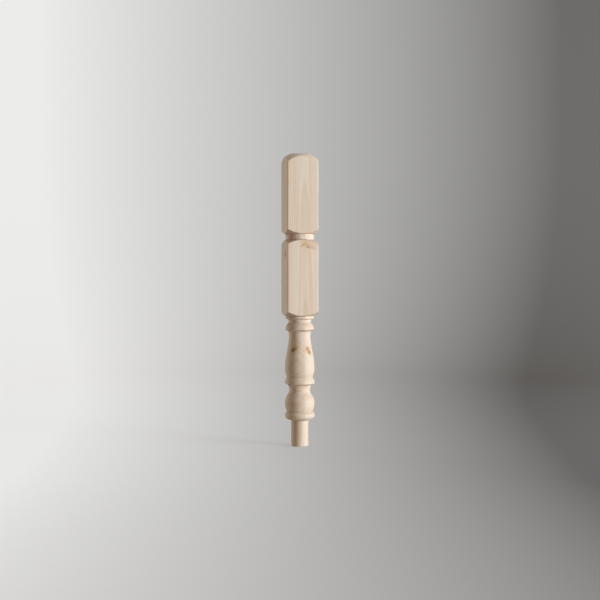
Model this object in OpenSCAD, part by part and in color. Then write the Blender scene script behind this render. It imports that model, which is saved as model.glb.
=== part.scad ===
// Turned newel post, worked in one from a square length of softwood.
// Two square blocks with sloping shoulders stand over a turned lower part and a plain round spigot.
// The post runs up +Z from the centre of the spigot's end, and its square faces look along X and Y.
// An outline is a list of [distance from the axis, height] points, read upwards.

/* [Square blocks] */
// Side of the square that the post is worked from
square_side = 90; // [78:1:130]
// Radius of the eased long arrises
arris_r = 3; // [0.5:0.5:6]
// Height of the upper block between its shoulders
upper_block_h = 190; // [80:1:900]
// Height of the lower block between its shoulders
lower_block_h = 192; // [80:1:900]

/* [Shoulders] */
// Height of the shoulder at the top of the post
top_shoulder_h = 26.5; // [10:0.5:60]
// How far the middle of that shoulder bows out from a straight slope
top_shoulder_bow = 2.2; // [0:0.1:4]
// Diameter of the flat on top of the post
top_flat_d = 60; // [30:1:74]
// Height of each other shoulder, where square turns into round
shoulder_h = 13.5; // [6:0.5:30]
// How far the middle of each other shoulder bows out from a straight slope
shoulder_bow = 0.7; // [0:0.1:2]

/* [Rims] */
// How far the neck band, the fillet and the flared ring stand back from the square's faces
rim_setback = 4; // [0.5:0.5:6]
// Width of the fine groove where a rim meets a shoulder
nick_w = 1.5; // [0.5:0.25:3]
// Depth of that groove
nick_deep = 1.5; // [0.5:0.25:3]
// Height of the neck band between the two blocks
neck_h = 13; // [5:0.5:40]
// Height of the fillet's edge, under the lower block
fillet_h = 5.5; // [3:0.5:20]
// Height of the bevel under the fillet
fillet_under_h = 3; // [1:0.5:8]
// Height of the throat between the fillet and the flared ring
throat_h = 9; // [4:0.5:20]
// How deep the throat is cut below the square's faces
throat_cut = 13; // [12:0.5:20]
// Height of the flared ring's slope
flare_h = 14; // [8:0.5:40]
// How far the middle of that slope bows out from a straight one
flare_bow = 1.1; // [0:0.1:2]
// Height of the flared ring's edge
ring_edge_h = 5.5; // [1:0.5:12]
// Height of the bevel under the flared ring
ring_under_h = 4.5; // [1:0.5:8]

/* [Swells] */
// How far the vase, the collar, the ball and the foot bead stand back from the square's faces
swell_setback = 2.2; // [0.2:0.2:3]
// How deep the grooves between swells are cut below the square's faces
groove_cut = 8.5; // [5:0.5:12]
// Height of the cove at the vase's neck
vase_cove_h = 12; // [4:0.5:30]
// How deep the vase's neck is cut below the square's faces
vase_neck_cut = 14; // [12:0.5:20]
// Height of the vase's long taper
vase_taper_h = 98; // [40:1:300]
// Height of the vase's rounded foot
vase_foot_h = 22.5; // [6:0.5:40]
// Height of the collar's slope, over its edge
collar_top_h = 13; // [6:0.5:30]
// How far the middle of that slope bows out from a straight one
collar_bow = 0.7; // [0:0.1:2]
// Height of the collar's edge
collar_edge_h = 6; // [2:0.5:12]
// Height of the bevel under the collar
collar_under_h = 3; // [1:0.5:8]
// Height of the cove between the collar and the ball
cove_h = 17; // [6:0.5:30]
// How deep that cove is cut below the square's faces
cove_cut = 15; // [10:0.5:20]
// Height of the ball's upper half, which sweeps into the cove
ball_top_h = 36; // [15:0.5:80]
// Height of the ball's lower half
ball_foot_h = 25; // [8:0.5:60]
// Height of the foot bead's upper half
bead_top_h = 10.5; // [5:0.5:30]
// Height of the foot bead's lower half
bead_foot_h = 14; // [5:0.5:30]

/* [Spigot] */
// Diameter of the spigot
spigot_d = 50; // [30:0.5:54]
// Length of the spigot
spigot_len = 75; // [30:1:150]
// Width of the bevel round the spigot's end
spigot_bevel = 1; // [0.5:0.5:4]
// Width of the flat seat round the spigot
seat_w = 2.5; // [2:0.5:6]

/* [Hidden] */
$fn = 96;

wood = "burlywood";
arc_steps = 10; // steps in a rounded stretch
ogee_steps = 20; // steps in a long sweep
groove_sweep = 55; // degrees of roundness left where a swell dips into a groove
seat_sweep = 76; // and where the foot bead meets its seat
under_w = 6; // width of the bevel under the flared ring and the collar
throat_spread = 1; // how much wider the throat is at its top than at its foot
ball_lean = 1.3; // above 1, the ball stays full before it sweeps into the cove
vase_lean = 1.1; // above 1, the vase stays full before it tapers

// Distances from the axis
blank_r = square_side / sqrt(2);
face_r = square_side / 2;
rim_r = face_r - rim_setback;
swell_r = face_r - swell_setback;
groove_r = face_r - groove_cut;
throat_r = face_r - throat_cut;
vase_neck_r = face_r - vase_neck_cut;
cove_r = face_r - cove_cut;
spigot_r = spigot_d / 2;

// Heights, from the spigot's end up
seat_z = spigot_len;
bead_z = seat_z + bead_foot_h;
ball_foot_z = bead_z + bead_top_h;
ball_z = ball_foot_z + ball_foot_h;
cove_z = ball_z + ball_top_h;
collar_foot_z = cove_z + cove_h;
collar_edge_z = collar_foot_z + collar_under_h;
collar_top_z = collar_edge_z + collar_edge_h;
vase_foot_z = collar_top_z + collar_top_h;
vase_z = vase_foot_z + vase_foot_h;
vase_neck_z = vase_z + vase_taper_h;
ring_foot_z = vase_neck_z + vase_cove_h;
ring_edge_z = ring_foot_z + ring_under_h;
flare_z = ring_edge_z + ring_edge_h;
throat_z = flare_z + flare_h;
fillet_foot_z = throat_z + throat_h;
fillet_z = fillet_foot_z + fillet_under_h;
lower_shoulder_z = fillet_z + fillet_h + nick_w;
lower_block_z = lower_shoulder_z + shoulder_h;
neck_z = lower_block_z + lower_block_h + shoulder_h + nick_w;
upper_shoulder_z = neck_z + neck_h + nick_w;
upper_block_z = upper_shoulder_z + shoulder_h;
top_shoulder_z = upper_block_z + upper_block_h;
top_z = top_shoulder_z + top_shoulder_h;

// Rounded stretch that leaves `crest` along the post and turns through `sweep` degrees of an ellipse
// on its way to `end`. At 90 degrees it meets the end square to the axis.
function rounding(crest, end, sweep = 90) =
    [for (i = [0 : arc_steps])
        let (turn = sweep * i / arc_steps)
        [crest.x + (end.x - crest.x) * (1 - cos(turn)) / (1 - cos(sweep)),
         crest.y + (end.y - crest.y) * sin(turn) / sin(sweep)]];

function reversed(path) = [for (i = [len(path) - 1 : -1 : 0]) path[i]];

// The same stretch read the other way, from `end` to `crest`
function rounding_up(end, crest, sweep = 90) = reversed(rounding(crest, end, sweep));

// Slope that stands `bow` out from the straight line between its ends, at its middle
function bowed(low, high, bow) =
    let (run = high - low, out = [run.y, -run.x] / norm(run))
    [for (i = [0 : arc_steps])
        let (rise = i / arc_steps)
        low + run * rise + out * 4 * bow * rise * (1 - rise)];

// S-shaped sweep that runs along the post at both ends. With a lean above 1 it stays near `low` for longer.
function ogee(low, high, lean) =
    [for (i = [0 : ogee_steps])
        let (rise = i / ogee_steps, share = (1 + cos(180 * pow(rise, lean))) / 2)
        [high.x + (low.x - high.x) * share, low.y + (high.y - low.y) * rise]];

// Fine square groove cut into a rim, from height z up
function nick(z) =
    [[rim_r, z], [rim_r - nick_deep, z], [rim_r - nick_deep, z + nick_w], [rim_r, z + nick_w]];

// A list of stretches as one outline, with each shared end point kept once
function joined(stretches) =
    let (path = [for (stretch = stretches) for (point = stretch) point])
    [for (i = [0 : len(path) - 1]) if (i == 0 || norm(path[i] - path[i - 1]) > 0.001) path[i]];

function spigot_outline() =
    [[0, 0], [spigot_r - spigot_bevel, 0], [spigot_r, spigot_bevel], [spigot_r, seat_z]];

function foot_bead_outline() = joined([
    rounding_up([spigot_r + seat_w, seat_z], [swell_r, bead_z], seat_sweep),
    rounding([swell_r, bead_z], [groove_r, ball_foot_z], groove_sweep)
]);

function ball_outline() = joined([
    rounding_up([groove_r, ball_foot_z], [swell_r, ball_z], groove_sweep),
    ogee([swell_r, ball_z], [cove_r, cove_z], ball_lean),
    rounding([cove_r, cove_z], [swell_r - under_w, collar_foot_z])
]);

function collar_outline() = joined([
    [[swell_r, collar_edge_z]],
    bowed([swell_r, collar_top_z], [groove_r, vase_foot_z], collar_bow)
]);

function vase_outline() = joined([
    rounding_up([groove_r, vase_foot_z], [swell_r, vase_z], groove_sweep),
    ogee([swell_r, vase_z], [vase_neck_r, vase_neck_z], vase_lean),
    rounding([vase_neck_r, vase_neck_z], [rim_r - under_w, ring_foot_z])
]);

function flared_ring_outline() = joined([
    [[rim_r, ring_edge_z]],
    bowed([rim_r, flare_z], [throat_r, throat_z], flare_bow),
    [[throat_r + throat_spread, fillet_foot_z]]
]);

function lower_block_outline() = joined([
    [[rim_r, fillet_z]],
    nick(fillet_z + fillet_h),
    bowed([rim_r, lower_shoulder_z], [blank_r, lower_block_z], shoulder_bow),
    bowed([blank_r, lower_block_z + lower_block_h], [rim_r, neck_z - nick_w], shoulder_bow)
]);

function upper_block_outline() = joined([
    nick(neck_z - nick_w),
    nick(neck_z + neck_h),
    bowed([rim_r, upper_shoulder_z], [blank_r, upper_block_z], shoulder_bow),
    bowed([blank_r, top_shoulder_z], [top_flat_d / 2, top_z], top_shoulder_bow),
    [[0, top_z]]
]);

post_outline = joined([
    spigot_outline(),
    foot_bead_outline(),
    ball_outline(),
    collar_outline(),
    vase_outline(),
    flared_ring_outline(),
    lower_block_outline(),
    upper_block_outline()
]);

// Section of the squared length, with its arrises eased
module squared_section() {
    arris_at = face_r - arris_r;
    square([square_side, 2 * arris_at], center = true);
    square([2 * arris_at, square_side], center = true);
    for (x = [-arris_at, arris_at], y = [-arris_at, arris_at]) translate([x, y]) circle(arris_r);
}

module newel_post() {
    color(wood)
        intersection() {
            rotate_extrude() polygon(post_outline);
            linear_extrude(top_z) squared_section();
        }
}

newel_post();
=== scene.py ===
"""Looks of a turned pine newel post: one piece, two square blocks over a turned lower part and a spigot."""

import logging
import math
from dataclasses import dataclass
from typing import Any

import bpy
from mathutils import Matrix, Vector

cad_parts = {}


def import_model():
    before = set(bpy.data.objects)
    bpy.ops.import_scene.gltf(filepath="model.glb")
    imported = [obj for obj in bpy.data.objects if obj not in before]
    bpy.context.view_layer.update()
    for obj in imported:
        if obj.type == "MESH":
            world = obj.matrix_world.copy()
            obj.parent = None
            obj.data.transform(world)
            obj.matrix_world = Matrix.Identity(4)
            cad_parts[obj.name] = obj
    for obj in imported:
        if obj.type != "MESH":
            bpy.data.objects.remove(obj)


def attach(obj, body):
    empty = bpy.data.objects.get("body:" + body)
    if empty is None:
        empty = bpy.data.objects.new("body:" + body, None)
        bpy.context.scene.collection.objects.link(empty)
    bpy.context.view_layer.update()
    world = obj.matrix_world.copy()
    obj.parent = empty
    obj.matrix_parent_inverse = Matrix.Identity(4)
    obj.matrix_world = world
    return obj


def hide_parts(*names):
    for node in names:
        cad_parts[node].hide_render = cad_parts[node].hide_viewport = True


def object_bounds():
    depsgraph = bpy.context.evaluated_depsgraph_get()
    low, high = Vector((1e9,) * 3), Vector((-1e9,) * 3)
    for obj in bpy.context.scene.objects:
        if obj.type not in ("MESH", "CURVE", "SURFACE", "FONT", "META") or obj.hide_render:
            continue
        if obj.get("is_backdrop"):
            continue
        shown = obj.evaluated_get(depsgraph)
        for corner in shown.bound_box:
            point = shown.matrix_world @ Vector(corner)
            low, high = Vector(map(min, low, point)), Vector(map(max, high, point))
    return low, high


log = logging.getLogger("newel_post")

MM = 0.001  # metres in a millimetre
MERGE_GAP = 0.01  # corners nearer than this, in mm, become one
NOISE_SPAN = {"From Min": 0.3, "From Max": 0.7}  # where nearly all of a noise lies
SHARE, UNDER, OVER, MIXED = 0, 6, 7, 2  # a colour mix's sockets; numbers, because its kinds share their names

Point = tuple[float, float]  # in an outline: distance from the axis and height, in mm
Place = tuple[float, float, float]
Outline = list[Point]
Feed = bpy.types.Node | bpy.types.NodeSocket  # what a node's input can be linked to


def rounding(crest: Point, end: Point, steps: int, sweep: float = 90.0) -> Outline:
    """Rounded stretch of an outline, which leaves its crest along the post.

    Args:
        crest: Distance from the axis and height, in mm, where the stretch runs along the post.
        end: Where it ends.
        steps: Number of straight steps.
        sweep: Degrees of an ellipse that it turns through; at 90 it meets the end square to the axis.

    Returns:
        The points from crest to end.
    """
    turn = math.radians(sweep)
    points = []
    for i in range(steps + 1):
        t = turn * i / steps
        out = (1 - math.cos(t)) / (1 - math.cos(turn))
        up = math.sin(t) / math.sin(turn)
        points.append((crest[0] + (end[0] - crest[0]) * out, crest[1] + (end[1] - crest[1]) * up))
    return points


def ogee(low: Point, high: Point, lean: float, steps: int) -> Outline:
    """S-shaped stretch of an outline that runs along the post at both ends.

    Args:
        low: Lower end.
        high: Upper end.
        lean: Above 1, the stretch stays near its lower end for longer.
        steps: Number of straight steps.

    Returns:
        The points from low to high.
    """
    points = []
    for i in range(steps + 1):
        rise = i / steps
        share = (1 + math.cos(math.pi * rise**lean)) / 2
        points.append((high[0] + (low[0] - high[0]) * share, low[1] + (high[1] - low[1]) * rise))
    return points


def bowed(low: Point, high: Point, bow: float, steps: int) -> Outline:
    """Slope that stands out from the straight line between its ends.

    Args:
        low: Lower end, as distance from the axis and height.
        high: Upper end.
        bow: How far its middle stands out.
        steps: Number of straight steps.

    Returns:
        The points from low to high.
    """
    run_r, run_z = high[0] - low[0], high[1] - low[1]
    length = math.hypot(run_r, run_z)
    points = []
    for i in range(steps + 1):
        rise = i / steps
        out = 4 * bow * rise * (1 - rise) / length
        points.append((low[0] + run_r * rise + run_z * out, low[1] + run_z * rise - run_r * out))
    return points


def deselect_all() -> None:
    """Leaves no object selected."""
    if bpy.context.object and bpy.context.object.mode != "OBJECT":
        bpy.ops.object.mode_set(mode="OBJECT")
    bpy.ops.object.select_all(action="DESELECT")


def apply_modifiers(obj: bpy.types.Object) -> None:
    """Applies every modifier of an object, in order.

    Args:
        obj: The object.
    """
    deselect_all()
    obj.select_set(True)
    bpy.context.view_layer.objects.active = obj
    for name in [m.name for m in obj.modifiers]:
        bpy.ops.object.modifier_apply(modifier=name)


def turned(name: str, outline: Outline, steps: int) -> bpy.types.Object:
    """Spins an outline round the Z axis.

    Args:
        name: Name of the new object.
        outline: Its points, as distance from the axis and height, in mm. It starts on the axis.
        steps: Number of faces round the axis.

    Returns:
        The turned object, whose faces point away from the axis where the outline is read upwards.
    """
    points = [Vector((r, 0.0, z)) * MM for r, z in outline]
    deselect_all()
    bpy.ops.mesh.primitive_plane_add(size=MM, location=points[0])
    bpy.ops.object.mode_set(mode="EDIT")
    bpy.ops.mesh.merge(type="CENTER")
    for start, end in zip(points, points[1:]):
        bpy.ops.mesh.extrude_region_move(TRANSFORM_OT_translate={"value": end - start})
    bpy.ops.mesh.select_all(action="SELECT")
    bpy.ops.mesh.spin(steps=steps, angle=math.tau, center=(0, 0, 0), axis=(0, 0, 1))
    bpy.ops.mesh.select_all(action="SELECT")
    bpy.ops.mesh.remove_doubles(threshold=MERGE_GAP * MM)
    bpy.ops.mesh.normals_make_consistent(inside=False)
    bpy.ops.object.mode_set(mode="OBJECT")
    bpy.ops.object.transform_apply(location=True, rotation=True, scale=True)
    turning = bpy.context.object
    turning.name = name
    return turning


@dataclass
class NewelPost:
    """The post: a squared blank with its arrises eased, cut to a turned outline. Sizes are in mm.

    An "_h" is a height along the post, a "_cut" or "_setback" is a depth below the square's faces, and a
    "_bow" is how far the middle of a slope stands out.
    """

    side: float
    height: float
    arris_r: float = 3.0

    # The two square blocks and the shoulders where square turns into round
    upper_block_h: float = 190.0
    lower_block_h: float = 192.0
    top_shoulder_h: float = 26.5
    top_shoulder_bow: float = 2.2
    top_flat_r: float = 30.0
    shoulder_h: float = 13.5
    shoulder_bow: float = 0.7

    # The rims that meet the shoulders: neck band, fillet and flared ring, with a fine groove at each shoulder.
    # The bevels under the ring and the collar are both under_w wide.
    rim_setback: float = 4.0
    nick_w: float = 1.5
    nick_deep: float = 1.5
    neck_h: float = 13.0
    fillet_h: float = 5.5
    fillet_under_h: float = 3.0
    throat_h: float = 9.0
    throat_cut: float = 13.0
    throat_spread: float = 1.0
    flare_h: float = 14.0
    flare_bow: float = 1.1
    ring_edge_h: float = 5.5
    ring_under_h: float = 4.5
    under_w: float = 6.0

    # Vase, collar, ball and foot bead. A sweep is the degrees of roundness kept where a swell dips into its
    # groove, and a lean above 1 keeps a swell full for longer.
    swell_setback: float = 2.2
    groove_cut: float = 8.5
    groove_sweep: float = 55.0
    vase_cove_h: float = 12.0
    vase_neck_cut: float = 14.0
    vase_taper_h: float = 98.0
    vase_lean: float = 1.1
    vase_foot_h: float = 22.5
    collar_top_h: float = 13.0
    collar_bow: float = 0.7
    collar_edge_h: float = 6.0
    collar_under_h: float = 3.0
    cove_h: float = 17.0
    cove_cut: float = 15.0
    ball_top_h: float = 36.0
    ball_lean: float = 1.3
    ball_foot_h: float = 25.0
    bead_top_h: float = 10.5
    bead_foot_h: float = 14.0

    # Spigot, and the flat seat round it
    spigot_r: float = 25.0
    spigot_len: float = 75.0
    spigot_bevel: float = 1.0
    seat_w: float = 2.5
    seat_sweep: float = 76.0

    # Steps round the axis, in a short stretch, in a long sweep and round an arris
    turn_steps: int = 144
    arc_steps: int = 14
    long_steps: int = 36
    arris_steps: int = 6

    # How far blank and turning stand clear of each other where they don't cut, how near two points of the
    # outline are one, and up to how many degrees two faces are shaded as one curve
    clear: float = 1.5
    same_point: float = 0.001
    smooth_below: float = 30.0

    @property
    def rim_r(self) -> float:
        """Radius of the neck band, the fillet and the flared ring."""
        return self.side / 2 - self.rim_setback

    @property
    def blank_r(self) -> float:
        """Distance from the axis to the square's corners, before they are eased."""
        return self.side / math.sqrt(2)

    def lower_outline(self) -> Outline:
        """Draws the outline from the spigot's end to the top of the fillet.

        Returns:
            The points, upwards.
        """
        face, rim, arc = self.side / 2, self.rim_r, self.arc_steps
        swell, groove = face - self.swell_setback, face - self.groove_cut
        cove_r, neck_r = face - self.cove_cut, face - self.vase_neck_cut
        throat_r = face - self.throat_cut
        seat = self.spigot_len
        bead = seat + self.bead_foot_h
        ball_foot = bead + self.bead_top_h
        ball = ball_foot + self.ball_foot_h
        cove = ball + self.ball_top_h
        collar_foot = cove + self.cove_h
        collar_edge = collar_foot + self.collar_under_h
        collar_top = collar_edge + self.collar_edge_h
        vase_foot = collar_top + self.collar_top_h
        vase = vase_foot + self.vase_foot_h
        neck = vase + self.vase_taper_h
        ring_foot = neck + self.vase_cove_h
        ring_edge = ring_foot + self.ring_under_h
        flare = ring_edge + self.ring_edge_h
        throat = flare + self.flare_h
        fillet_foot = throat + self.throat_h
        fillet = fillet_foot + self.fillet_under_h
        spigot, bevel = self.spigot_r, self.spigot_bevel
        path = [(0.0, 0.0), (spigot - bevel, 0.0), (spigot, bevel), (spigot, seat)]
        path += rounding((swell, bead), (spigot + self.seat_w, seat), arc, self.seat_sweep)[::-1]
        path += rounding((swell, bead), (groove, ball_foot), arc, self.groove_sweep)
        path += rounding((swell, ball), (groove, ball_foot), arc, self.groove_sweep)[::-1]
        path += ogee((swell, ball), (cove_r, cove), self.ball_lean, self.long_steps)
        path += rounding((cove_r, cove), (swell - self.under_w, collar_foot), arc)
        path += [(swell, collar_edge)]
        path += bowed((swell, collar_top), (groove, vase_foot), self.collar_bow, arc)
        path += rounding((swell, vase), (groove, vase_foot), arc, self.groove_sweep)[::-1]
        path += ogee((swell, vase), (neck_r, neck), self.vase_lean, 2 * self.long_steps)
        path += rounding((neck_r, neck), (rim - self.under_w, ring_foot), arc)
        path += [(rim, ring_edge)]
        path += bowed((rim, flare), (throat_r, throat), self.flare_bow, arc)
        path += [(throat_r + self.throat_spread, fillet_foot)]
        path += [(rim, fillet), (rim, fillet + self.fillet_h)]
        return path

    def nick(self, foot: float) -> Outline:
        """Fine groove cut into a rim, from the height of its foot up."""
        inner = self.rim_r - self.nick_deep
        return [(inner, foot), (inner, foot + self.nick_w)]

    def block_outline(self, foot: float, block_h: float) -> Outline:
        """Outline of a block from the shoulder below it to its upper arris.

        Args:
            foot: Height of the lower shoulder's foot.
            block_h: Height of the block between its shoulders.

        Returns:
            The points, upwards.
        """
        low, clear_r = foot + self.shoulder_h, self.blank_r + self.clear
        path = bowed((self.rim_r, foot), (self.blank_r, low), self.shoulder_bow, self.arc_steps)
        return path + [(clear_r, low), (clear_r, low + block_h)]

    def outline(self) -> Outline:
        """Draws the whole turned outline.

        Returns:
            The points, upwards, with each shared point kept once.
        """
        path = self.lower_outline()
        path += self.nick(path[-1][1])
        path += self.block_outline(path[-1][1], self.lower_block_h)
        block_top = path[-1][1]
        neck = block_top + self.shoulder_h
        corner = (self.blank_r, block_top)
        path += bowed(corner, (self.rim_r, neck), self.shoulder_bow, self.arc_steps)
        path += self.nick(neck)
        neck += self.nick_w
        path += [(self.rim_r, neck), (self.rim_r, neck + self.neck_h)]
        path += self.nick(neck + self.neck_h)
        path += self.block_outline(path[-1][1], self.upper_block_h)
        block_top = path[-1][1]
        top = block_top + self.top_shoulder_h
        corner = (self.blank_r, block_top)
        path += bowed(corner, (self.top_flat_r, top), self.top_shoulder_bow, self.arc_steps)
        path += [(0.0, top)]
        kept = [path[0]]
        for point in path[1:]:
            if math.dist(point, kept[-1]) > self.same_point:
                kept.append(point)
        return kept

    def square(self) -> bpy.types.Object:
        """Makes the squared blank.

        Returns:
            The blank, with its four long arrises rounded.
        """
        deselect_all()
        middle = (0, 0, self.height / 2 * MM)
        size = (self.side * MM, self.side * MM, (self.height + 2 * self.clear) * MM)
        bpy.ops.mesh.primitive_cube_add(size=1, location=middle, scale=size)
        blank = bpy.context.object
        bpy.ops.object.transform_apply(location=True, rotation=True, scale=True)
        bpy.ops.object.mode_set(mode="EDIT")
        bpy.ops.mesh.select_all(action="DESELECT")
        bpy.ops.mesh.select_mode(type="EDGE")
        bpy.ops.object.mode_set(mode="OBJECT")
        # Only the four long edges rise further than the square is wide
        for edge in blank.data.edges:
            a, b = (blank.data.vertices[i].co for i in edge.vertices)
            edge.select = abs(a.z - b.z) > self.side * MM
        bpy.ops.object.mode_set(mode="EDIT")
        bpy.ops.mesh.bevel(offset=self.arris_r * MM, segments=self.arris_steps, affect="EDGES")
        bpy.ops.object.mode_set(mode="OBJECT")
        return blank

    def build(self) -> bpy.types.Object:
        """Cuts the squared blank to the turned outline.

        Returns:
            The post, as one closed mesh.
        """
        turning = turned("turned_post", self.outline(), self.turn_steps)
        blank = self.square()
        cut = turning.modifiers.new("square", "BOOLEAN")
        cut.operation, cut.solver, cut.object = "INTERSECT", "EXACT", blank
        apply_modifiers(turning)
        bpy.data.objects.remove(blank)
        deselect_all()
        turning.select_set(True)
        bpy.context.view_layer.objects.active = turning
        bpy.ops.object.shade_smooth_by_angle(angle=math.radians(self.smooth_below))
        return turning

    def dress(self, post: bpy.types.Object, finish: bpy.types.Material) -> None:
        """Gives the post its finish and its place in the frame.

        Args:
            post: The post, as built.
            finish: Its material.
        """
        post.data.materials.clear()
        post.data.materials.append(finish)
        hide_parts("newel_post")
        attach(post, "root")


class Graph:
    """Node tree of a material or a world, which nodes are added to one after the other."""

    def __init__(self, tree: bpy.types.NodeTree) -> None:
        """Takes over a tree and empties it."""
        tree.nodes.clear()
        self.tree = tree

    def add(self, kind: str, inputs: dict[int | str, Any] | None = None, **settings: Any) -> bpy.types.Node:
        """Adds one node.

        Args:
            kind: The node's type, without the leading "ShaderNode".
            inputs: Value, socket or node for each input, by number or name. A node means its first output.
            settings: Properties of the node.

        Returns:
            The node.
        """
        node = self.tree.nodes.new("ShaderNode" + kind)
        for name, value in settings.items():
            setattr(node, name, value)
        for key, value in (inputs or {}).items():
            if isinstance(value, bpy.types.Node):
                value = value.outputs[0]
            if isinstance(value, bpy.types.NodeSocket):
                self.tree.links.new(value, node.inputs[key])
            else:
                node.inputs[key].default_value = value
        return node


def linear(colour: str) -> tuple[float, float, float, float]:
    """Turns an sRGB colour to linear.

    Args:
        colour: The colour in hex, such as "#c0a080".

    Returns:
        Its linear red, green and blue, and an alpha of 1.
    """
    parts = [int(colour[i : i + 2], 16) / 255 for i in (1, 3, 5)]
    red, green, blue = (p / 12.92 if p <= 0.04045 else ((p + 0.055) / 1.055) ** 2.4 for p in parts)
    return (red, green, blue, 1.0)


@dataclass(frozen=True)
class DrawnOut:
    """Noise whose cells are drawn out along the grain: their sizes in mm, and the finer layers over them."""

    across: float
    along: float
    detail: float

    def add_to(self, graph: Graph, where: Feed) -> bpy.types.Node:
        """Adds the noise.

        Args:
            graph: The material's nodes.
            where: Position on the post, in m.

        Returns:
            The noise.
        """
        cells = (1 / (self.across * MM), 1 / (self.across * MM), 1 / (self.along * MM))
        place = graph.add("Mapping", {"Vector": where, "Scale": cells})
        return graph.add("TexNoise", {"Vector": place, "Scale": 1.0, "Detail": self.detail})


@dataclass(frozen=True)
class DarkRun:
    """Tapered run of darker wood inside the post, in mm: a branch, which shows as a knot, or a resin streak.

    Its heart, rim and stain say how strongly each is coloured, and its push how far the rings bulge round it.
    """

    start: Place
    end: Place
    start_r: float
    end_r: float
    heart_colour: str
    rim_colour: str
    heart: float = 0.8
    rim: float = 0.4
    stain: float = 0.3
    push: float = 3.0

    # Shares of its radius: how ragged its outline is, how far its edge fades to either side, how wide its rim
    # is, and between which distances the stain and the bulge round it fade out
    ragged: float = 0.6
    fade: float = 0.35
    rim_w: float = 0.35
    round_from: float = 0.6
    round_to: float = 3.2

    # How many rings of its own it has to a radius, and how much of its colour the palest one keeps
    own_rings: float = 5.0
    palest_ring: float = 0.6

    def place_in(self, graph: Graph, where: Feed, wobble: Feed) -> tuple[bpy.types.Node, bpy.types.Node]:
        """Adds how far each point is from the run.

        Args:
            graph: The material's nodes.
            where: Position on the post, in m.
            wobble: Small noise, from 0 to 1, that makes the run's outline ragged.

        Returns:
            Distance from the run as a share of its radius, and how near the point is, from 0 to 1.
        """
        run = Vector(self.end) - Vector(self.start)
        unit = run / (run.length_squared * MM)
        inside = graph.add("VectorMath", {0: where, 1: Vector(self.start) * MM}, operation="SUBTRACT")
        along = graph.add("VectorMath", {0: inside, 1: unit}, operation="DOT_PRODUCT")
        share = graph.add("MapRange", {"Value": along.outputs["Value"]})
        foot = graph.add("VectorMath", {0: run * MM, "Scale": share}, operation="SCALE")
        gap = graph.add("VectorMath", {0: inside, 1: foot}, operation="DISTANCE").outputs["Value"]
        taper = {"Value": share, "To Min": self.start_r * MM, "To Max": self.end_r * MM}
        radius = graph.add("MapRange", taper)
        clean = graph.add("Math", {0: gap, 1: radius}, operation="DIVIDE")
        spread = {0: wobble, 1: 2 * self.ragged, 2: -self.ragged}
        uneven = graph.add("Math", spread, operation="MULTIPLY_ADD")
        ratio = graph.add("Math", {0: clean, 1: uneven}, operation="ADD")
        fall = {"Value": ratio, "From Min": self.round_to, "From Max": self.round_from}
        near = graph.add("MapRange", fall, interpolation_type="SMOOTHSTEP")
        return ratio, near

    def colour_in(self, graph: Graph, ratio: Feed, near: Feed, colour: Feed, stain_colour: str) -> Feed:
        """Adds the run's own colours over those of the clear wood.

        Args:
            graph: The material's nodes.
            ratio: Distance from the run as a share of its radius.
            near: How near the point is, from 0 to 1.
            colour: Colour of the wood so far.
            stain_colour: Hex colour of the stained wood around the run.

        Returns:
            The colour with the run in it.
        """
        stained = graph.add("Math", {0: near, 1: self.stain}, operation="MULTIPLY")
        stain = {SHARE: stained, UNDER: colour, OVER: linear(stain_colour)}
        colour = graph.add("Mix", stain, data_type="RGBA").outputs[MIXED]
        own = {"W": ratio, "Scale": self.own_rings, "Detail": 1.0}
        rings = graph.add("TexNoise", own, noise_dimensions="1D")
        tone = graph.add("MapRange", {"Value": rings, **NOISE_SPAN, "To Min": self.palest_ring})
        edge = {"Value": ratio, "From Min": 1 + self.fade, "From Max": 1 - self.fade, "To Max": self.heart}
        inside = graph.add("MapRange", edge, interpolation_type="SMOOTHSTEP")
        inside = graph.add("Math", {0: inside, 1: tone}, operation="MULTIPLY")
        heart = {SHARE: inside, UNDER: colour, OVER: linear(self.heart_colour)}
        colour = graph.add("Mix", heart, data_type="RGBA").outputs[MIXED]
        off = graph.add("Math", {0: ratio, 1: 1.0}, operation="SUBTRACT")
        gap = graph.add("Math", {0: off}, operation="ABSOLUTE")
        edge = {"Value": gap, "From Min": self.rim_w, "From Max": 0.0, "To Max": self.rim}
        bark = graph.add("MapRange", edge, interpolation_type="SMOOTHSTEP")
        rim = {SHARE: bark, UNDER: colour, OVER: linear(self.rim_colour)}
        return graph.add("Mix", rim, data_type="RGBA").outputs[MIXED]


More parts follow.
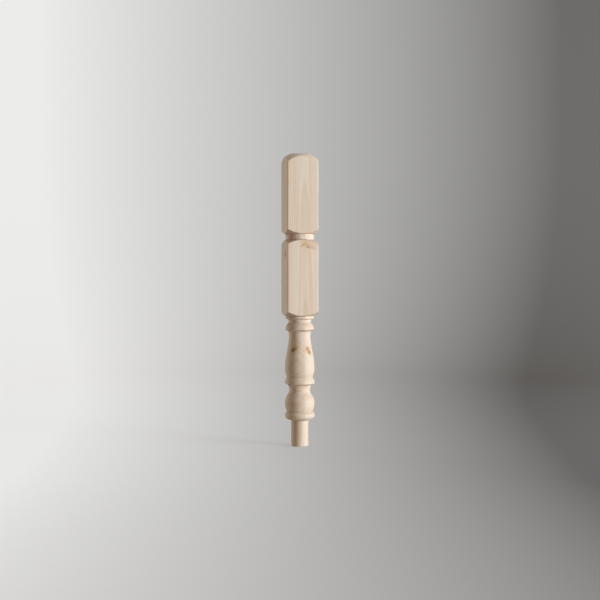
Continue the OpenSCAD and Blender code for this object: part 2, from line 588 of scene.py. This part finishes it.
@dataclass(frozen=True)
class BarePine:
    """Bare European redwood, planed and turned, in mm.

    The rings stand round a pith that runs up inside the post, so that each face, turning and end cuts the
    same wood: cream early wood, thin tan late wood, and knots in whorls.
    """

    name: str = "bare_planed_redwood"
    early: str = "#e1d3c3"
    late: str = "#c49c6f"
    blush: str = "#d6ad90"
    end_wood: str = "#c9ae98"
    pith: Point = (6.0, 16.0)
    runs: tuple[DarkRun, ...] = ()

    # Width of a year's ring, by how many rings the count runs ahead or lags and how quickly that changes, how
    # fast the rings draw in up the post, and how far they wander from a true circle
    ring: float = 2.6
    uneven: float = 2.5
    uneven_pace: float = 0.3
    taper: float = 0.012
    wander: float = 5.0
    wander_cells: DrawnOut = DrawnOut(across=70.0, along=330.0, detail=1.5)

    # Where in a ring the late wood begins, is full and stops, how strongly it shows, and its weakest year
    late_from: float = 0.3
    late_full: float = 0.92
    late_stop: float = 0.93
    late_share: float = 0.36
    weakest_year: float = 0.45

    # Real fibres are about 0.03 mm across and 3 mm long, too fine to show, so they are drawn as coarse as
    # this, from a little darker to a little lighter than the wood
    fibre_cells: DrawnOut = DrawnOut(across=0.9, along=30.0, detail=3.0)
    fibre_tone: tuple[float, float] = (0.95, 1.04)

    # What makes the outlines of knots and streaks waver
    wobble_cells: DrawnOut = DrawnOut(across=3.5, along=5.0, detail=4.0)

    # The warm blush that follows some of the grain, and the darker tone on ends and shoulders: how strong each
    # is, and between which values of the noise or the slope it comes in
    blush_cells: DrawnOut = DrawnOut(across=12.0, along=420.0, detail=2.0)
    blush_share: float = 0.45
    blush_span: tuple[float, float] = (0.48, 0.78)
    end_share: float = 0.3
    end_span: tuple[float, float] = (0.3, 0.95)

    # Gloss of dry, uncoated softwood
    roughness: tuple[float, float] = (0.5, 0.7)
    ior: float = 1.5
    specular: float = 0.3

    # Spacing of the marks that the planer's knives leave, the depth of the relief, how far fibres and marks
    # stand up in it next to late wood, and how strongly it catches the light
    knife_marks: float = 1.2
    deep: float = 0.06
    fibre_relief: float = 0.8
    mark_relief: float = 0.08
    relief_strength: float = 0.4

    def make(self) -> bpy.types.Material:
        """Makes the material.

        Returns:
            The material, for an object whose origin is the centre of the spigot's end.
        """
        # Planed and turned but never coated, it scatters light softly: the eye gets a dry, silky surface with
        # fine upright grain and no highlight, a little darker where the fibres are cut across
        material = bpy.data.materials.new(self.name)
        material.use_nodes = True
        graph = Graph(material.node_tree)
        where = graph.add("TexCoord").outputs["Object"]
        wobble = self.wobble_cells.add_to(graph, where)
        fibre = self.fibre_cells.add_to(graph, where)
        placed = [(run, *run.place_in(graph, where, wobble)) for run in self.runs]
        bulges = [(run.push, near) for run, _, near in placed]
        late = self.late_wood(graph, self.ring_count(graph, where, bulges))
        colour = self.clear_wood(graph, where, late, fibre)
        for run, ratio, near in placed:
            colour = run.colour_in(graph, ratio, near, colour, self.late)
        colour = self.cut_across(graph, colour)
        smooth, rough = self.roughness
        gloss = graph.add("MapRange", {"Value": fibre, "To Min": smooth, "To Max": rough})
        surface = {"Base Color": colour, "Roughness": gloss, "Normal": self.relief(graph, where, late, fibre)}
        shine = {"IOR": self.ior, "Specular IOR Level": self.specular}
        shader = graph.add("BsdfPrincipled", {**surface, **shine})
        graph.add("OutputMaterial", {"Surface": shader})
        return material

    def ring_count(self, graph: Graph, where: Feed, bulges: list[tuple[float, Feed]]) -> bpy.types.Node:
        """Adds how many rings lie between the pith and each point.

        Args:
            graph: The material's nodes.
            where: Position on the post, in m.
            bulges: For each dark run, how far it pushes the rings out and how near each point is to it.

        Returns:
            The count, whose whole numbers are the rings' outer edges.
        """
        drift = self.wander_cells.add_to(graph, where).outputs["Color"]
        centred = graph.add("VectorMath", {0: drift, 1: (0.5, 0.5, 0.5)}, operation="SUBTRACT")
        reach = (self.wander * MM, self.wander * MM, 0)
        bent = graph.add("VectorMath", {0: centred, 1: reach, 2: where}, operation="MULTIPLY_ADD")
        pith = (self.pith[0] * MM, self.pith[1] * MM, 0)
        out = graph.add("VectorMath", {0: bent, 1: pith}, operation="SUBTRACT")
        level = graph.add("VectorMath", {0: out, 1: (1, 1, 0)}, operation="MULTIPLY")
        radius = graph.add("VectorMath", {0: level}, operation="LENGTH").outputs["Value"]
        height = graph.add("SeparateXYZ", {0: where}).outputs["Z"]
        depth = graph.add("Math", {0: height, 1: self.taper, 2: radius}, operation="MULTIPLY_ADD")
        for push, near in bulges:
            depth = graph.add("Math", {0: near, 1: push * MM, 2: depth}, operation="MULTIPLY_ADD")
        count = graph.add("Math", {0: depth, 1: 1 / (self.ring * MM)}, operation="MULTIPLY")
        slow = {"W": count, "Scale": self.uneven_pace, "Detail": 1.0}
        pace = graph.add("TexNoise", slow, noise_dimensions="1D")
        return graph.add("Math", {0: pace, 1: self.uneven, 2: count}, operation="MULTIPLY_ADD")

    def late_wood(self, graph: Graph, rings: Feed) -> bpy.types.Node:
        """Adds the late wood, which rises slowly through each ring and ends sharply.

        Args:
            graph: The material's nodes.
            rings: How many rings lie between the pith and each point.

        Returns:
            Its share, from 0 to 1.
        """
        phase = graph.add("Math", {0: rings}, operation="FRACT")
        growing = {"Value": phase, "From Min": self.late_from, "From Max": self.late_full}
        rise = graph.add("MapRange", growing, interpolation_type="SMOOTHSTEP")
        fall = graph.add("MapRange", {"Value": phase, "From Min": 1.0, "From Max": self.late_stop})
        both = graph.add("Math", {0: rise, 1: fall}, operation="MULTIPLY")
        year = graph.add("Math", {0: rings}, operation="FLOOR")
        growth = graph.add("TexWhiteNoise", {"W": year}, noise_dimensions="1D").outputs["Value"]
        strength = graph.add("MapRange", {"Value": growth, "To Min": self.weakest_year})
        return graph.add("Math", {0: both, 1: strength}, operation="MULTIPLY")

    def clear_wood(self, graph: Graph, where: Feed, late: Feed, fibre: Feed) -> bpy.types.Node:
        """Adds the clear wood's colour: its rings, a blush along some of the grain, and its fibres.

        Args:
            graph: The material's nodes.
            where: Position on the post, in m.
            late: Share of late wood.
            fibre: Noise of the fibres.

        Returns:
            The colour.
        """
        share = graph.add("Math", {0: late, 1: self.late_share}, operation="MULTIPLY")
        rings = {SHARE: share, UNDER: linear(self.early), OVER: linear(self.late)}
        ringed = graph.add("Mix", rings, data_type="RGBA").outputs[MIXED]
        streak = self.blush_cells.add_to(graph, where)
        first, full = self.blush_span
        some = {"Value": streak, "From Min": first, "From Max": full, "To Max": self.blush_share}
        flushed = {SHARE: graph.add("MapRange", some), UNDER: ringed, OVER: linear(self.blush)}
        warm = graph.add("Mix", flushed, data_type="RGBA").outputs[MIXED]
        dark, light = self.fibre_tone
        tone = graph.add("MapRange", {"Value": fibre, **NOISE_SPAN, "To Min": dark, "To Max": light})
        return graph.add("VectorMath", {0: warm, "Scale": tone}, operation="SCALE")

    def cut_across(self, graph: Graph, colour: Feed) -> Feed:
        """Adds the darker tone of wood cut across its fibres, on the ends and the shoulders.

        Args:
            graph: The material's nodes.
            colour: Colour of the wood so far.

        Returns:
            The colour with the darker tone in it.
        """
        up = graph.add("SeparateXYZ", {0: graph.add("TexCoord").outputs["Normal"]}).outputs["Z"]
        steep = graph.add("Math", {0: up}, operation="ABSOLUTE")
        first, full = self.end_span
        edge = {"Value": steep, "From Min": first, "From Max": full, "To Max": self.end_share}
        share = graph.add("MapRange", edge, interpolation_type="SMOOTHSTEP")
        ends = {SHARE: share, UNDER: colour, OVER: linear(self.end_wood)}
        return graph.add("Mix", ends, data_type="RGBA").outputs[MIXED]

    def relief(self, graph: Graph, where: Feed, late: Feed, fibre: Feed) -> bpy.types.Node:
        """Adds fibres, raised late wood and the planer's faint knife marks along the post.

        Args:
            graph: The material's nodes.
            where: Position on the post, in m.
            late: Share of late wood.
            fibre: Noise of the fibres.

        Returns:
            The bump.
        """
        height = graph.add("SeparateXYZ", {0: where}).outputs["Z"]
        turns = graph.add("Math", {0: height, 1: math.tau / (self.knife_marks * MM)}, operation="MULTIPLY")
        ripple = graph.add("Math", {0: turns}, operation="SINE")
        grain = graph.add("Math", {0: fibre, 1: self.fibre_relief, 2: late}, operation="MULTIPLY_ADD")
        both = graph.add("Math", {0: ripple, 1: self.mark_relief, 2: grain}, operation="MULTIPLY_ADD")
        rise = {"Height": both, "Strength": self.relief_strength, "Distance": self.deep * MM}
        return graph.add("Bump", rise)


@dataclass(frozen=True)
class Whorl:
    """Branches that leave the pith together and climb to one height at the post's faces. Sizes are in mm."""

    height: float
    pith: Point

    # How far they climb to that height and reach from the axis, and their radius at the pith
    climb: float = 16.0
    reach: float = 50.0
    pith_r: float = 2.0

    def branch(
        self, bearing: float, rise: float, radius: float, heart_colour: str, rim_colour: str, **tones: float
    ) -> DarkRun:
        """Grows one branch.

        Args:
            bearing: Direction in degrees from the front, positive to the right.
            rise: Height of its outer end, over the whorl's.
            radius: Its radius there.
            heart_colour: Hex colour of its wood.
            rim_colour: Hex colour of its bark.
            tones: Strengths of its colours, as in DarkRun.

        Returns:
            The branch, as a dark run.
        """
        turn = math.radians(bearing)
        end = (self.reach * math.sin(turn), -self.reach * math.cos(turn), self.height + rise)
        start = (*self.pith, self.height - self.climb)
        return DarkRun(start, end, self.pith_r, radius, heart_colour, rim_colour, **tones)


def dark_runs(pith: Point) -> tuple[DarkRun, ...]:
    """Places every knot and streak of the post.

    Args:
        pith: Where the pith runs up, in mm.

    Returns:
        The knots and streaks, from the foot up.
    """
    vase = Whorl(281.0, pith)
    block = Whorl(578.0, pith)
    amber, umber, blush = "#a5703f", "#74492a", "#cf9f7c"
    crisp = {"push": 5.0, "ragged": 0.4}
    small = {"heart": 0.9, "rim": 0.3, "ragged": 0.5, "fade": 0.5}
    smudged = {"rim": 0.2, "ragged": 0.4, "fade": 0.5}
    soft = {"rim": 0.0, "push": 1.0, "ragged": 1.0, "fade": 0.8}
    return (
        # Knot at the left of the vase's front, and the smudge that climbs away from it
        vase.branch(-43, 1, 5.6, "#96683c", umber, heart=0.95, rim=0.35, stain=0.35, **crisp),
        DarkRun((-14, -18, 272), (-22, -33, 286), 2.0, 5.2, "#a87546", amber, heart=0.85, stain=0.2, **soft),
        DarkRun((-17, -34, 288), (-8, -37, 293), 3.6, 2.2, "#b98a60", amber, heart=0.7, stain=0.1, **soft),
        # Pair of overlapping knots at the right of the vase's front
        DarkRun((8, -16, 272), (17, -33, 282), 2.0, 5.6, "#a8743f", amber, heart=0.95, **smudged),
        DarkRun((10, -14, 262), (24, -33, 273), 2.5, 5.8, "#a57140", amber, heart=1.0, **smudged),
        # Two knots round the back of the vase
        vase.branch(150, 2, 7.5, "#ad7a4b", umber, heart=0.85, rim=0.6, **crisp),
        vase.branch(-120, -4, 5.0, "#a8743f", umber, heart=0.9, rim=0.5, push=4.0, ragged=0.4),
        # Small dark knot on the lower block's left face, and the faint streak over it
        DarkRun((*pith, 536), (-47, -16, 551), 2.0, 5.2, "#836748", "#6d563c", **small),
        DarkRun((-45, -15, 553), (-45, -6, 582), 5.0, 4.0, "#a58f72", umber, heart=0.45, stain=0.2, **soft),
        # Wisp across the top of the lower block's front: a warm cloud with four darker strokes in it
        DarkRun((5, -44, 585), (32, -44, 577), 8.0, 8.0, "#d9ad8c", blush, heart=0.4, stain=0.1, **soft),
        DarkRun((-8, -45, 573), (2, -45, 580), 1.6, 3.0, "#b8946c", amber, heart=0.75, stain=0.1, **soft),
        DarkRun((5, -45, 582), (13, -45, 577), 3.2, 3.4, "#cf9a70", amber, heart=0.7, stain=0.15, **soft),
        DarkRun((13, -45, 573), (19, -45, 570), 3.0, 2.4, "#a98c72", amber, heart=0.8, stain=0.1, **soft),
        DarkRun((25, -45, 572), (33, -45, 568), 2.4, 2.0, "#c9a386", amber, heart=0.6, stain=0.1, **soft),
        # Knots on the lower block's right face and back
        block.branch(84, 6, 7.0, "#ad7a4b", umber, rim=0.6, **crisp),
        block.branch(-170, -4, 6.0, "#b5834f", umber, rim=0.5, **crisp),
        # Long faint blush up the upper block's front
        DarkRun((-19, -45, 600), (-27, -45, 815), 5.0, 4.0, "#dcab8c", blush, heart=0.22, stain=0.06, **soft),
    )


@dataclass(frozen=True)
class PaintedGlowPaper:
    """Matt studio paper with painted light: it glows though it is no lamp, lighter to one side and darker to
    the other. Lengths are in m.
    """

    # Level directions to the right of the camera's view and away from the camera
    across: Vector
    ahead: Vector

    name: str = "painted_glow_paper"
    face: str = "#7c7c7c"
    # Painted light: colours of the glow on its lit side, on its shaded side, and over the rest of the room
    painted_lit_side: str = "#dadada"
    painted_shaded_side: str = "#191919"
    painted_glow_elsewhere: str = "#505050"

    # Half the width over which the glow falls at the back wall, and how many times that far out it starts and
    # ends its fade to the tone of the rest of the room
    reach: float = 1.8
    fade_from: float = 1.05
    fade_to: float = 2.2

    # Depths of the near floor and the back wall, and how many times narrower the fall is near by, so that it
    # keeps one width from where the camera stands
    near: float = -0.5
    far: float = 3.75
    near_spread: float = 2.6

    def make(self) -> bpy.types.Material:
        """Makes the material.

        Returns:
            The material.
        """
        # Matt, it gives the eye an even fall of tone, with no gloss, spots or texture; that fall is painted
        # light, a glow from its lit side to its shaded side
        material = bpy.data.materials.new(self.name)
        material.use_nodes = True
        graph = Graph(material.node_tree)
        where = graph.add("TexCoord").outputs["Object"]
        along = graph.add("VectorMath", {0: where, 1: self.across}, operation="DOT_PRODUCT").outputs["Value"]
        depth = graph.add("VectorMath", {0: where, 1: self.ahead}, operation="DOT_PRODUCT").outputs["Value"]
        narrowing = {"Value": depth, "From Min": self.near, "From Max": self.far}
        spread = graph.add("MapRange", {**narrowing, "To Min": self.near_spread, "To Max": 1.0})
        stretched = graph.add("Math", {0: along, 1: spread}, operation="MULTIPLY")
        # Painted light and shade: the glow falls from its lit side to its shaded side across the camera's view
        fall = {"Value": stretched, "From Min": -self.reach, "From Max": self.reach}
        share = graph.add("MapRange", fall)
        sides = {SHARE: share, UNDER: linear(self.painted_lit_side), OVER: linear(self.painted_shaded_side)}
        glow = graph.add("Mix", sides, data_type="RGBA").outputs[MIXED]
        edge = {"From Min": self.fade_from * self.reach, "From Max": self.fade_to * self.reach}
        away = graph.add("MapRange", {"Value": stretched, **edge}, interpolation_type="SMOOTHSTEP")
        room = {SHARE: away, UNDER: glow, OVER: linear(self.painted_glow_elsewhere)}
        glow = graph.add("Mix", room, data_type="RGBA").outputs[MIXED]
        surface = {"Base Color": linear(self.face), "Roughness": 0.9, "Specular IOR Level": 0.0}
        # The glow is emission: painted light, from paper that is no lamp
        shader = graph.add("BsdfPrincipled", {**surface, "Emission Color": glow, "Emission Strength": 1.0})
        graph.add("OutputMaterial", {"Surface": shader})
        return material


def aim(obj: bpy.types.Object, target: Vector) -> None:
    """Turns a camera or lamp to look at a point."""
    obj.rotation_euler = (target - obj.location).to_track_quat("-Z", "Y").to_euler()


@dataclass(frozen=True)
class SoftLamp:
    """Soft light that faces the post from a direction in degrees from the camera's, positive to the right.

    It hangs at a height, a level distance away. Lengths are in m and its power in W.
    """

    name: str
    bearing: float
    away: float
    height: float
    size: tuple[float, float]
    power: float
    tint: str


@dataclass
class Studio:
    """Floor and backdrop in one sweep, three soft lamps and the camera. Sizes are in m."""

    middle: Vector

    # Degrees by which the camera stands to the left of the post's front, and where it stands and looks
    bearing: float = 12.6
    camera_away: float = 3.0
    camera_height: float = 0.473
    look_height: float = 0.421
    look_right: float = 0.0009

    # Sensor and lens, in mm
    sensor: float = 36.0
    lens: float = 62.4

    # The lamps, and the even light of the room from above and below
    lamps: tuple[SoftLamp, ...] = (
        SoftLamp("key_light", 65.5, away=5.0, height=0.7, size=(2.1, 4.0), power=331.0, tint="#f2faff"),
        SoftLamp("fill_light", -125, away=5.0, height=0.5, size=(2.1, 3.8), power=72.0, tint="#f4ffff"),
        SoftLamp("top_light", 180, away=0.4, height=4.5, size=(2.5, 2.5), power=48.0, tint="#d5e5ff"),
    )
    sky: str = "#867255"
    ground: str = "#968a7d"

    # The paper's radius at the wall, the radius of its bend and its height
    paper_r: float = 3.8
    paper_bend: float = 1.4
    paper_h: float = 3.4
    bend_steps: int = 16
    turn_steps: int = 96

    @property
    def toward(self) -> Vector:
        """Level direction from the post to the camera."""
        turn = math.radians(self.bearing)
        return Vector((-math.sin(turn), -math.cos(turn), 0.0))

    @property
    def right(self) -> Vector:
        """Level direction to the right of the camera's view."""
        turn = math.radians(self.bearing)
        return Vector((math.cos(turn), -math.sin(turn), 0.0))

    def place(self, name: str, data: bpy.types.ID, location: Vector) -> bpy.types.Object:
        """Links a camera or lamp to the scene.

        Args:
            name: Name of the new object.
            data: The camera or lamp.
            location: Where it stands.

        Returns:
            The new object.
        """
        obj = bpy.data.objects.new(name, data)
        bpy.context.scene.collection.objects.link(obj)
        obj.location = location
        return obj

    def camera(self) -> None:
        """Stands the camera in front of the post."""
        data = bpy.data.cameras.new("camera")
        data.sensor_width = self.sensor
        data.lens = self.lens
        obj = self.place("camera", data, self.toward * self.camera_away + Vector((0, 0, self.camera_height)))
        aim(obj, self.right * self.look_right + Vector((0, 0, self.look_height)))
        bpy.context.scene.camera = obj

    def hang(self, lamp: SoftLamp) -> None:
        """Hangs a lamp, out of the camera's sight.

        Args:
            lamp: The lamp.
        """
        data = bpy.data.lights.new(lamp.name, "AREA")
        data.shape = "RECTANGLE"
        data.size, data.size_y = lamp.size
        data.energy = lamp.power
        data.color = linear(lamp.tint)[:3]
        turn = math.radians(lamp.bearing)
        flat = self.toward * math.cos(turn) + self.right * math.sin(turn)
        obj = self.place(lamp.name, data, flat * lamp.away + Vector((0, 0, lamp.height)))
        obj.visible_camera = False
        aim(obj, self.middle)

    def sweep(self) -> bpy.types.Object:
        """Makes the paper: a round floor that curves up into a wall all the way round.

        Returns:
            The paper, unfinished.
        """
        inner, bend = (self.paper_r - self.paper_bend) / MM, self.paper_bend / MM
        outline = [(0.0, 0.0), (inner, 0.0)]
        outline += rounding((inner + bend, bend), (inner, 0.0), self.bend_steps)[::-1]
        outline += [(inner + bend, self.paper_h / MM)]
        paper = turned("studio_sweep", outline, self.turn_steps)
        bpy.ops.object.shade_smooth()
        return paper

    def room(self) -> None:
        """Sets the even light of the room, which comes from above and, as from a pale floor, from below."""
        world = bpy.data.worlds.new("studio")
        bpy.context.scene.world = world
        world.use_nodes = True
        graph = Graph(world.node_tree)
        up = graph.add("SeparateXYZ", {0: graph.add("TexCoord").outputs["Generated"]}).outputs["Z"]
        share = graph.add("MapRange", {"Value": up, "From Min": -1.0, "From Max": 1.0})
        halves = {SHARE: share, UNDER: linear(self.ground), OVER: linear(self.sky)}
        back = graph.add("Background", {"Color": graph.add("Mix", halves, data_type="RGBA").outputs[MIXED]})
        graph.add("OutputWorld", {"Surface": back})

    def build(self) -> bpy.types.Object:
        """Sets up the whole studio.

        Returns:
            The paper, as the stage.
        """
        self.camera()
        for lamp in self.lamps:
            self.hang(lamp)
        self.room()
        paper = self.sweep()
        paper.data.materials.append(PaintedGlowPaper(across=self.right, ahead=-self.toward).make())
        # The paper shines for the camera alone, and the lamps outside it shine through
        paper.visible_diffuse = paper.visible_glossy = paper.visible_shadow = False
        paper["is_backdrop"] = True
        return paper


def main() -> None:
    """Builds the post, its stage, lights and camera."""
    logging.basicConfig(level=logging.INFO, format="%(name)s: %(message)s")
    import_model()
    cad_low, cad_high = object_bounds()
    extent = (cad_high - cad_low) / MM
    paper = Studio(middle=(cad_low + cad_high) / 2).build()
    post = NewelPost(side=extent.x, height=extent.z)
    piece = post.build()
    post.dress(piece, BarePine(runs=dark_runs(BarePine.pith)).make())
    for made in (paper, piece):
        log.info("%s: %d corners, %d faces", made.name, len(made.data.vertices), len(made.data.polygons))
    bpy.context.scene.view_settings.view_transform = "Standard"


if __name__ == "__main__":
    main()
